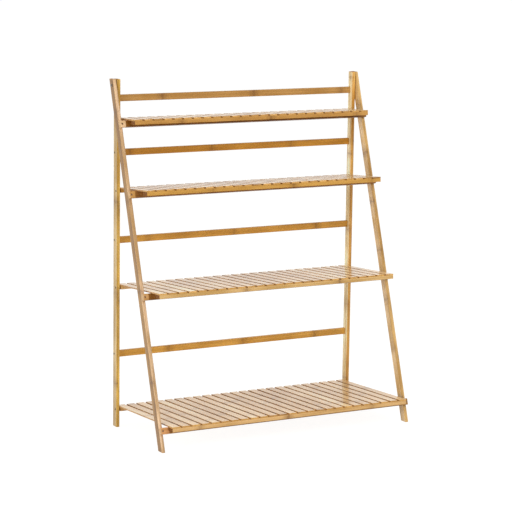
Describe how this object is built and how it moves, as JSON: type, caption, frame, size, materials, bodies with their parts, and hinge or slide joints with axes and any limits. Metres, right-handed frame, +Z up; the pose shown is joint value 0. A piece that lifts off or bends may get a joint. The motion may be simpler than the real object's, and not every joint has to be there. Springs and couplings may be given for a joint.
{
  "type": "tiered plant stand",
  "caption": "Free-standing folding A-frame plant stand of bamboo laths, with slatted shelves that lift on pivots and hook over the rungs of the leaning front frame.",
  "frame": {"origin": "middle of the footprint, on the floor", "axes": "+Z up, +X to the stand's right as seen from the front, the front towards -Y"},
  "size_m": [0.9554, 0.4308, 1.18],
  "materials": {
    "leg_bamboo": "satin clear lacquer on bamboo laths",
    "rail_bamboo": "satin clear lacquer on bamboo laths",
    "slat_bamboo": "glossy clear lacquer on bamboo slats",
    "screw_steel": "dark zinc plating",
    "pivot_steel": "zinc plating"
  },
  "bodies": {
    "rear_frame": {"left_rear_leg": "leg_bamboo", "right_rear_leg": "leg_bamboo", "back_rail_1": "rail_bamboo", "back_rail_1_left_screw": "screw_steel", "back_rail_1_right_screw": "screw_steel", "back_rail_2": "rail_bamboo", "back_rail_2_left_screw": "screw_steel", "back_rail_2_right_screw": "screw_steel", "back_rail_3": "rail_bamboo", "back_rail_3_left_screw": "screw_steel", "back_rail_3_right_screw": "screw_steel", "back_rail_4": "rail_bamboo", "back_rail_4_left_screw": "screw_steel", "back_rail_4_right_screw": "screw_steel"},
    "front_frame": {"left_front_leg": "leg_bamboo", "right_front_leg": "leg_bamboo", "left_pivot_bolt": "pivot_steel", "right_pivot_bolt": "pivot_steel", "left_pivot_washer": "pivot_steel", "right_pivot_washer": "pivot_steel", "left_pivot_nut": "pivot_steel", "right_pivot_nut": "pivot_steel", "rung_1": "rail_bamboo", "rung_1_left_screw": "screw_steel", "rung_1_right_screw": "screw_steel", "rung_2": "rail_bamboo", "rung_2_left_screw": "screw_steel", "rung_2_right_screw": "screw_steel", "rung_3": "rail_bamboo", "rung_3_left_screw": "screw_steel", "rung_3_right_screw": "screw_steel", "rung_4": "rail_bamboo", "rung_4_left_screw": "screw_steel", "rung_4_right_screw": "screw_steel"},
    "shelf_1": {"shelf_1_deck": "slat_bamboo", "shelf_1_front_rail": "rail_bamboo", "shelf_1_left_screw": "screw_steel", "shelf_1_right_screw": "screw_steel"},
    "shelf_2": {"shelf_2_deck": "slat_bamboo", "shelf_2_front_rail": "rail_bamboo", "shelf_2_left_screw": "screw_steel", "shelf_2_right_screw": "screw_steel"},
    "shelf_3": {"shelf_3_deck": "slat_bamboo", "shelf_3_front_rail": "rail_bamboo", "shelf_3_left_screw": "screw_steel", "shelf_3_right_screw": "screw_steel"},
    "shelf_4": {"shelf_4_deck": "slat_bamboo", "shelf_4_front_rail": "rail_bamboo", "shelf_4_left_screw": "screw_steel", "shelf_4_right_screw": "screw_steel"}
  },
  "joints": [
    {"name": "front_frame_fold", "type": "hinge", "parent": "rear_frame", "child": "front_frame", "pos_m": [0, 0.19395, 1.159], "axis": [1, 0, 0], "range_deg": [0, 13]},
    {"name": "shelf_1_lift", "type": "hinge", "parent": "rear_frame", "child": "shelf_1", "pos_m": [0, 0.18895, 1.04], "axis": [-1, 0, 0], "range_deg": [0, 81.5]},
    {"name": "shelf_2_lift", "type": "hinge", "parent": "rear_frame", "child": "shelf_2", "pos_m": [0, 0.18895, 0.807], "axis": [-1, 0, 0], "range_deg": [0, 82]},
    {"name": "shelf_3_lift", "type": "hinge", "parent": "rear_frame", "child": "shelf_3", "pos_m": [0, 0.18895, 0.48], "axis": [-1, 0, 0], "range_deg": [0, 84]},
    {"name": "shelf_4_lift", "type": "hinge", "parent": "rear_frame", "child": "shelf_4", "pos_m": [0, 0.18895, 0.061], "axis": [-1, 0, 0], "range_deg": [0, 85]}
  ]
}
